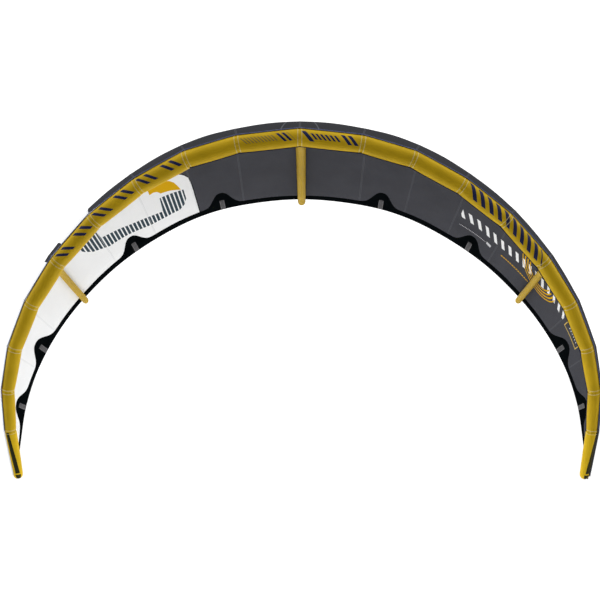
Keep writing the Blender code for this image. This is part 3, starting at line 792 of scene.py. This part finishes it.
def woven_tape(name, colour, pitch):
    """Tape or webbing: a coarse weave."""
    shader = Shader(name, Roughness=0.6, Sheen_Weight=0.02, Specular_IOR_Level=0.15)
    height = shader.weave(*shader.uv("along_back"), pitch)
    return shader.finish(shader.vary(colour, 0.15, 25.0), height, (0.55, 0.72))


def moulded(name, colour, roughness):
    """Moulded plastic, rubber or film: a faint grain and uneven gloss."""
    shader = Shader(name, Roughness=roughness)
    grain = shader.noise(900.0, 2.0)
    return shader.finish(shader.vary(colour, 0.08, 40.0), grain, (roughness - 0.05, roughness + 0.08),
                         strength=0.15, distance=0.0002)


MATERIALS = {
    "casing": gold_cloth("gold_cloth_marked", GOLD, marked=True),
    "strut": gold_cloth("gold_cloth", GOLD_STRUT),
    "tip_left": tip_cloth("tip_cloth_left", TIP_SHADE_BANDS["left"]),
    "tip_right": tip_cloth("tip_cloth_right", TIP_SHADE_BANDS["right"]),
    "canopy": canopy_cloth(),
    "band": band_cloth(),
    "pocket": pocket_cloth(),
    "tape": woven_tape("navy_tape", NAVY, 0.0018),
    "webbing": woven_tape("webbing", (0.02, 0.02, 0.022), 0.003),
    "film": moulded("bladder_film", (0.75, 0.78, 0.8), 0.25),
    "hose": moulded("hose_rubber", (0.03, 0.03, 0.034), 0.5),
    "valve": moulded("valve_plastic", (0.028, 0.028, 0.032), 0.38),
    "cap": moulded("cap_plastic", (0.5, 0.3, 0.03), 0.4),
}


# ---- canopy
def canopy_stations():
    """Signed stations, closer beside each seam."""
    right = {float(PANELS)}
    for i, length in enumerate(PANEL_LENGTHS):
        beside = [offset / length for offset in SEAM_ROWS]
        right.update(i + f for f in beside)
        right.update(i + 1 - f for f in beside)
        right.update(steps(i + beside[-1], i + 1 - beside[-1], ROWS_PER_PANEL))
    right = sorted(right)
    return [-s for s in right[:0:-1]] + right


def canopy_skin():
    """The whole canopy as one sheet from tip to tip."""
    top, bottom, plan, shares = [], [], [], []
    for s in canopy_stations():
        sec = section(abs(s))
        front, rear = canopy_start(sec)[0] + CLOTH_FRONT_GAP, sec.chord - CLOTH_REAR_GAP
        ws = [lerp(front, rear, share ** COLUMN_BUNCHING) for share in steps(0, 1, CANOPY_COLUMNS)]
        off = from_seam(abs(s)) - CANOPY_SEAM_RIDGE
        ridge = RIDGE * math.exp(-(off / RIDGE_SPREAD) ** 2) if abs(s) > 0.001 else 0.0
        top.append([cloth_point(s, w, CLOTH_TOP - ridge) for w in ws])
        bottom.append([cloth_point(s, w, CLOTH_FOOT + ridge) for w in ws])
        side = -1 if s < 0 else 1
        plan += [(side * arc(abs(s)), w) for w in ws]
        shares += [(s, w / sec.chord) for w in ws]
    nodes = [n for n in frame["nodes"] if n.startswith("canopy_")]
    # 1 on the outer face, which gets painted shade, 0 on the inner face
    faces = [(1.0, 0.0)] * len(plan) + [(0.0, 0.0)] * len(plan)
    uvs = {"along_back": plan * 2, "station_share": shares * 2, "shaded_outer_face": faces}
    return piece("canopy_skin", *slab(top, bottom), MATERIALS["canopy"], "charcoal_ripstop", nodes, uvs=uvs)


def interpolate(table, x):
    for (x0, y0), (x1, y1) in zip(table, table[1:]):
        if x <= x1:
            return lerp(y0, y1, (x - x0) / (x1 - x0))
    return table[-1][1]


def band_front(s):
    """w of the trailing band's front edge, with its bell-shaped reinforcements."""
    bump = 0.0
    band = interpolate(BAND_WIDTHS, s)
    for middle, (height, spread) in zip(BATTEN_STATIONS, BUMPS):
        bump += (height - band) * math.exp(-(abs(arc(s) - arc(middle)) / spread) ** BUMP_SHARPNESS)
    return section(s).chord - band - bump


def trailing_band(side):
    """Black tape folded round the trailing edge."""
    word = WORDS[side]
    stations = [0.0008]
    for i, length in enumerate(PANEL_LENGTHS):
        stations += steps(i, i + 1, round(length / BAND_STEP))[1:]
    rings, uv = [], []
    for s in stations:
        chord = section(s).chord
        ws = steps(band_front(s), chord - 0.0014, BAND_COLUMNS)
        inner = ws[:-1] + [chord - 0.0022]
        ring = [cloth_point(s, w, BAND_TOP) for w in ws]
        ring.append(cloth_point(s, chord, (BAND_TOP + BAND_FOOT) / 2))
        ring += [cloth_point(s, w, BAND_FOOT) for w in reversed(ws)]
        ring += [cloth_point(s, w, BAND_FOOT - BAND_PLY) for w in inner]
        ring += [cloth_point(s, w, BAND_TOP + BAND_PLY) for w in reversed(inner)]
        rings.append(ring)
        row = ws + [chord] + ws[::-1] + inner + inner[::-1]
        uv += [(arc(s), chord - w) for w in row]
    return piece(f"trailing_band_{word}", *loft(rings), MATERIALS["band"], "black_trailing_edge",
                 [f"trailing_edge_{word}"], side, uvs={"along_back": uv})


def batten_pocket(number, middle, side):
    """Stitched pocket over a batten, rounded at its front end and crowned across."""
    word = WORDS[side]
    panel = PANEL_LENGTHS[int(middle)]
    rows, cols = 12, 16
    top, bottom, uv = [], [], []
    for across in steps(-POCKET_HALF_WIDTH, POCKET_HALF_WIDTH, rows):
        s = middle + across / panel
        chord = section(s).chord
        share = abs(across) / POCKET_HALF_WIDTH
        start = chord - POCKET_LENGTH + POCKET_ROUND * share ** 4
        crown = POCKET_FOOT - POCKET_CROWN * share ** 3
        end = chord - POCKET_REAR_GAP
        ws = steps(start, end, cols)
        top.append([cloth_point(s, w, POCKET_TOP) for w in ws])
        shape = [clamp(min(w - start, end - w) / POCKET_RAMP) ** 0.5 for w in ws]
        bottom.append([cloth_point(s, w, lerp(POCKET_TOP + 0.0008, crown, f)) for w, f in zip(ws, shape)])
        uv += [(across, chord - w) for w in ws]
    return piece(f"batten_pocket_{word}_{number}", *slab(top, bottom), MATERIALS["pocket"], "grey_batten",
                 [f"batten_{word}_{number}"], side, uvs={"across_back": uv * 2})


def edge_tape(side):
    """Navy tape that sews the canopy's front edge to the casing."""
    word = WORDS[side]
    top, bottom, uv = [], [], []
    for s in [0.001] + steps(0, TAPE_END, 12 * TAPE_END)[1:]:
        front = canopy_start(section(s))[0]
        ws = steps(front - TAPE_LAP, front + lerp(TAPE_WIDTH, TAPE_WIDTH_TIP, s / TAPE_END), 5)
        top.append([cloth_point(s, w, CLOTH_TOP - TAPE_LIFT - TAPE_PLY) for w in ws])
        bottom.append([cloth_point(s, w, CLOTH_TOP - TAPE_LIFT) for w in ws])
        uv += [(arc(s), w) for w in ws]
    return piece(f"edge_tape_{word}", *slab(top, bottom), MATERIALS["tape"], "black_webbing",
                 side=side, uvs={"along_back": uv * 2})


# ---- leading edge
def casing_radius(s, angle, panel):
    """Radius of the inflated casing: full in the middle, drawn in and puckered at its seams."""
    off = from_seam(s)
    seam = round(s)
    radius = section(s).radius
    radius -= FULLNESS * math.exp(-off / FULLNESS_REACH)
    if 0 < seam < PANELS:
        inner_side = 0.5 - 0.5 * math.cos(angle)
        fold = 0.5 + 0.5 * math.sin(PUCKER_COUNT * angle + PUCKER_SHIFT * seam)
        radius -= PUCKER * (0.25 + 0.75 * inner_side) * fold * math.exp(-off / PUCKER_REACH)
    radius -= SEAM_DIP * math.exp(-(off / SEAM_DIP_SPREAD) ** 2)
    radius += RIDGE * math.exp(-((off - STITCH_FROM_SEAM) / STITCH_SPREAD) ** 2)
    return radius + (HEM if panel == PANELS - 1 else 0.0)


def quarter(degrees):
    """Shrink and reach of the rings of a rounded end."""
    return [(math.cos(math.radians(a)), math.sin(math.radians(a))) for a in degrees]


def turns(sides):
    """Angles once round."""
    return [math.tau * k / sides for k in range(sides)]


def casing_ring(s, panel, inset=0.0, shrink=1.0, ahead=0.0):
    sec = section(s)
    ring = []
    for angle in turns(CASING_SIDES):
        offset = sec.normal * math.cos(angle) + sec.back * math.sin(angle)
        radius = (casing_radius(s, angle, panel) - inset) * shrink
        ring.append(sec.le + sec.along * ahead + offset * radius)
    return ring


def casing(panel, side):
    """One inflated segment between two seams; the last one ends in a rounded cap."""
    word = WORDS[side]
    length = PANEL_LENGTHS[panel]
    rows = [max(r, CASING_GAP) / length for r in CASING_ROWS if r < length / 2]
    stations = sorted({panel + 0.5, *(panel + r for r in rows), *(panel + 1 - r for r in rows)})
    last = panel == PANELS - 1
    rings, uv, station_uv = [], [], []

    def add(s, inset=0.0, shrink=1.0, ahead=0.0):
        rings.append(casing_ring(s, panel, inset, shrink, ahead))
        off = UNSTITCHED if last and s > PANELS - 0.5 else from_seam(s)
        for k in range(CASING_SIDES):
            uv.append((side * (arc(s) + ahead), k / CASING_SIDES))
            station_uv.append((off, min(s + ahead / length, PANELS)))

    caps = quarter(CAP_ANGLES)
    for s in stations:
        add(s)
    if last:
        for shrink, ahead in caps:
            add(PANELS, 0.0, shrink, TIP_CAP_LENGTH * ahead)
        pole = len(rings)
        for shrink, ahead in caps[::-1]:
            add(PANELS, CASING_PLY, shrink, (TIP_CAP_LENGTH - CASING_PLY) * ahead)
    for s in stations[::-1]:
        add(s, CASING_PLY)
    verts, faces = skin(rings, closed=True, discs=(pole - 1, pole) if last else ())
    mat = MATERIALS[f"tip_{word}" if last else "casing"]
    name = f"leading_edge_{word}_{panel + 1}"
    return piece(f"casing_{word}_{panel + 1}", verts, faces, mat, "gold_casing", [name], side,
                 uvs={"along_turn": uv, "seam_station": station_uv})


def piping_and_shadow_line(side):
    """Navy piping down the casing's closing seam, on the inside of the arch; the thin strip also stands for
    the dark line where the tube meets the canopy, a painted shadow.
    """
    word = WORDS[side]
    rings, uv = [], []
    end = PIPING_SHADOW_END[word]
    for s in [0.001] + steps(0, end, 10 * end)[1:]:
        sec = section(s)
        foot = sec.le - sec.normal * (sec.radius - PIPING_SHADOW_INSET) - sec.back * PIPING_SHADOW_INSET
        ring = []
        for angle in turns(PIPING_SHADOW_SIDES):
            ring.append(foot - sec.normal * (PIPING_SHADOW_HEIGHT / 2 * (1 + math.cos(angle)))
                        + sec.back * (PIPING_SHADOW_HALF * math.sin(angle)))
        rings.append(ring)
        uv += [(arc(s), 0.001 * k) for k in range(PIPING_SHADOW_SIDES)]
    return piece(f"piping_{word}", *loft(rings), MATERIALS["tape"], "black_webbing", side=side,
                 uvs={"along_back": uv})


# ---- struts
def strut(key):
    """Inflated strut, coped round the leading edge, with a rounded end and side seams."""
    s, front_radius, rear_radius = STRUTS[key]
    side = -1 if key == "left" else 1
    sec = section(s)
    reach = sec.chord - rear_radius - STRUT_END_SETBACK
    cope = sec.radius + STRUT_COPE_GAP
    ws = [lerp(cope, reach, share ** STRUT_BUNCHING) for share in steps(0, 1, STRUT_ROWS)]
    rings, uv, seam_uv = [], [], []

    def add(w, shrink=1.0, ahead=0.0, inset=0.0):
        full = lerp(front_radius, rear_radius, (w - sec.radius) / (sec.chord - sec.radius))
        height = strut_axis_height(sec, s, w, full)
        lean = math.atan((strut_axis_height(sec, s, w + 0.002, full) - height) / 0.002)
        ring = []
        for angle in turns(STRUT_SIDES):
            flank = max(0.0, abs(math.sin(angle)) - FLANK_START) * FLANK_RISE
            radius = (full - inset + flank) * shrink
            up, across = radius * math.cos(angle), radius * math.sin(angle)
            back = w + ahead * math.cos(lean) - up * math.sin(lean)
            rise = height + ahead * math.sin(lean) + up * math.cos(lean)
            if w == ws[0]:
                back = math.sqrt(cope ** 2 - min(abs(height + up), cope - 0.001) ** 2)
                rise = height + up
            ring.append(at(sec, back, rise, across))
            uv.append((w + ahead, angle / math.tau))
            seam_uv.append((0.03 + w - cope, 5.5))
        rings.append(ring)

    nose = quarter(NOSE_ANGLES)
    for w in ws:
        add(w)
    for shrink, ahead in nose:
        add(ws[-1], shrink, rear_radius * ahead)
    pole = len(rings)
    for shrink, ahead in nose[::-1]:
        add(ws[-1], shrink, (rear_radius - CASING_PLY) * ahead, CASING_PLY)
    for w in ws[::-1]:
        add(w, inset=CASING_PLY)
    verts, faces = skin(rings, closed=True, discs=(pole - 1, pole))
    return piece(f"strut_casing_{key}", verts, faces, MATERIALS["strut"], "gold_casing",
                 [f"strut_{key}"], side, uvs={"along_turn": uv, "seam_station": seam_uv})


# ---- hoses and tabs
def hose(key):
    """Corrugated hose with a clamp at each end."""
    s, front_radius, _ = STRUTS[key]
    side = 1 if key == "right" else -1
    sec = section(s)
    beside = section(s + HOSE_OFFSET / PANEL_LENGTHS[s])
    outward = dipped(beside, HOSE_DIP_DEG)
    tube_end = beside.le + outward * (beside.radius + HOSE_TUBE_GAP)
    height = strut_axis_height(sec, s, HOSE_STRUT_REACH, front_radius) - HOSE_DROP
    strut_end = at(sec, HOSE_STRUT_REACH, height, front_radius + HOSE_STRUT_GAP)
    p0, p1 = tube_end, tube_end + outward * HOSE_PULL
    p2, p3 = strut_end + sec.along * HOSE_PULL, strut_end
    path = [p0 * (1 - f) ** 3 + p1 * 3 * (1 - f) ** 2 * f + p2 * 3 * (1 - f) * f * f + p3 * f ** 3
            for f in steps(0, 1, HOSE_STEPS)]
    rings = []
    for i, point in enumerate(path):
        run = (path[min(i + 1, len(path) - 1)] - path[max(i - 1, 0)]).normalized()
        u = run.cross(sec.normal).normalized()
        v = run.cross(u)
        clamped = min(i, len(path) - 1 - i) < CLAMP_STEPS
        radius = CLAMP_RADIUS if clamped else HOSE_RADIUS + HOSE_RIB * math.cos(math.pi * i)
        rings.append([point + (u * math.cos(a) + v * math.sin(a)) * radius for a in turns(HOSE_SIDES)])
    return piece(f"hose_{key}", *loft(rings), MATERIALS["hose"], "hose_rubber", [f"airlink_hose_{key}"], side)


def line_tab(kind, side):
    """Webbing folded into a loop, its two ends sewn to the casing."""
    word = WORDS[side]
    sec = section(TAB_STATIONS[kind])
    outward = dipped(sec, TAB_DIP_DEG)
    lift = sec.along.cross(outward).normalized()
    root = sec.le + outward * (sec.radius + TAB_ROOT_GAP)
    path = [*TAB_HALF_LOOP, (TAB_END, 0.0)] + [(r, -h) for r, h in TAB_HALF_LOOP[::-1]]
    top, bottom, uv = [], [], []
    for i, (reach, height) in enumerate(path):
        a = Vector(path[max(i - 1, 0)])
        b = Vector(path[min(i + 1, len(path) - 1)])
        run = (b - a).normalized()
        outer, inner = [], []
        for across in steps(-1, 1, 6):
            half = TAB_HALF_WIDTH * (TAB_NARROWED if reach > TAB_NARROW_FROM else 1.0)
            middle = root + outward * reach + lift * height + sec.along * (half * across)
            turn = (outward * -run.y + lift * run.x) * TAB_HALF_PLY
            outer.append(middle + turn)
            inner.append(middle - turn)
            uv.append((half * across, reach))
        top.append(outer)
        bottom.append(inner)
    return piece(f"{kind}_loop_{word}", *slab(top, bottom), MATERIALS["webbing"], "black_webbing",
                 [f"{kind}_{word}"], side, uvs={"along_back": uv * 2})


# ---- valve
def turned(profile, sides=72, knurls=0, lugs=()):
    """Rings round +Z from (radius, height) pairs; knurls and lugs shape the widest ones."""
    rings = []
    for radius, height in profile:
        ring = []
        for angle in turns(sides):
            reach = radius
            if knurls and radius >= GRIP_RADIUS:
                reach -= KNURL_DEPTH * (0.5 - 0.5 * math.cos(knurls * angle))
                for lug in lugs:
                    reach += LUG_REACH * max(0.0, math.cos(angle - lug)) ** LUG_SHARPNESS
            ring.append(Vector((reach * math.cos(angle), reach * math.sin(angle), height)))
        rings.append(ring)
    return rings


def valve():
    """Neck in the casing, twist-lock body and hinged cap, each on its own body."""
    sec = section(VALVE_STATION)
    axis, lower = sec.back, -sec.normal
    top = sec.le + axis * sec.radius

    def place(rings):
        return [[top + lower * v.x + sec.along * v.y + axis * v.z for v in ring] for ring in rings]

    piece("valve_neck_moulding", *skin(place(turned(NECK)), closed=True), MATERIALS["valve"],
          "valve_plastic", ["valve_neck"])
    rings = turned(TWIST_LOCK, knurls=36, lugs=(math.pi / 2, -math.pi / 2, 0.0))
    piece("valve_body_moulding", *skin(place(rings), closed=True), MATERIALS["valve"], "valve_plastic",
          ["valve_body"], body="valve_body")
    rings = turned(CAP, knurls=24, lugs=(0.0,))
    piece("valve_cap_moulding", *loft(place(rings)), MATERIALS["cap"], "cap_plastic", ["valve_cap"],
          body="valve_cap")


# ---- build
for side in (-1, 1):
    trailing_band(side)
    edge_tape(side)
    for number, middle in enumerate(BATTEN_STATIONS, 1):
        batten_pocket(number, middle, side)
    for panel in range(PANELS):
        casing(panel, side)
    piping_and_shadow_line(side)
    for kind in TAB_STATIONS:
        line_tab(kind, side)
canopy_skin()
for key in STRUTS:
    strut(key)
    hose(key)
valve()
for name, node in frame["nodes"].items():
    if "bladder" in name:
        for slot in node.material_slots:
            slot.material = MATERIALS["film"]


# ---- stage, light and camera
def stage():
    """A wide pale floor, from just in front of the kite backwards."""
    sides = 64
    middle = FLOOR_FRONT + FLOOR_REACH
    verts = [(0, middle, FLOOR_Z)]
    for angle in turns(sides):
        verts.append((FLOOR_REACH * math.cos(angle), middle + FLOOR_REACH * math.sin(angle), FLOOR_Z))
    faces = [(0, 1 + k, 1 + (k + 1) % sides) for k in range(sides)]
    mesh = bpy.data.meshes.new("studio")
    mesh.from_pydata(verts, [], faces)
    shader = Shader("studio_paper", Roughness=0.95, Specular_IOR_Level=0.0)
    shader.finish(shader.vary((0.93, 0.93, 0.93), 0.004, 1.0), shader.noise(60.0), strength=0.02)
    mesh.materials.append(shader.material)
    studio = bpy.data.objects.new("studio", mesh)
    scene.collection.objects.link(studio)


def aimed(name, data, place, target):
    thing = bpy.data.objects.new(name, data)
    thing.location = place
    thing.rotation_euler = (Vector(target) - Vector(place)).to_track_quat("-Z", "Y").to_euler()
    scene.collection.objects.link(thing)
    return thing


def area_light(name, place, target, size, power):
    data = bpy.data.lights.new(name, "AREA")
    data.shape = "RECTANGLE"
    data.size = data.size_y = size
    data.energy = power
    aimed(name, data, place, target)


def world():
    """White air, dimmer in front and a little below, so that light models the round tubes."""
    sky = bpy.data.worlds.new("studio_air")
    sky.use_nodes = True
    air = Nodes(sky.node_tree)
    tilt = {"Vector": air.node("TexCoord").outputs["Generated"], "Angle": math.radians(-AIR_TILT_DEG)}
    tilted = air.node("VectorRotate", tilt, rotation_type="X_AXIS").outputs[0]
    ahead = air.node("SeparateXYZ", {0: tilted}).outputs[1]
    level = {0: ahead, 1: AIR_DIM_FROM, 2: AIR_DIM_TO, 3: AIR_FRONT_STRENGTH, 4: AIR_STRENGTH}
    lit = air.node("MapRange", level, interpolation_type="SMOOTHSTEP").outputs[0]
    seen = air.node("LightPath").outputs["Is Camera Ray"]
    background = sky.node_tree.nodes["Background"]
    air.feed(background.inputs[0], (1, 1, 1))
    air.feed(background.inputs[1], air.node("Mix", {0: seen, 2: lit, 3: AIR_STRENGTH}).outputs[0])
    scene.world = sky


def camera():
    data = bpy.data.cameras.new("camera")
    data.lens = CAMERA_LENS
    data.sensor_width = 36.0
    scene.camera = aimed("camera", data, CAMERA_PLACE, CAMERA_AIM)


stage()
world()
for light in LIGHTS:
    area_light(*light)
camera()
scene.view_settings.view_transform = "Standard"
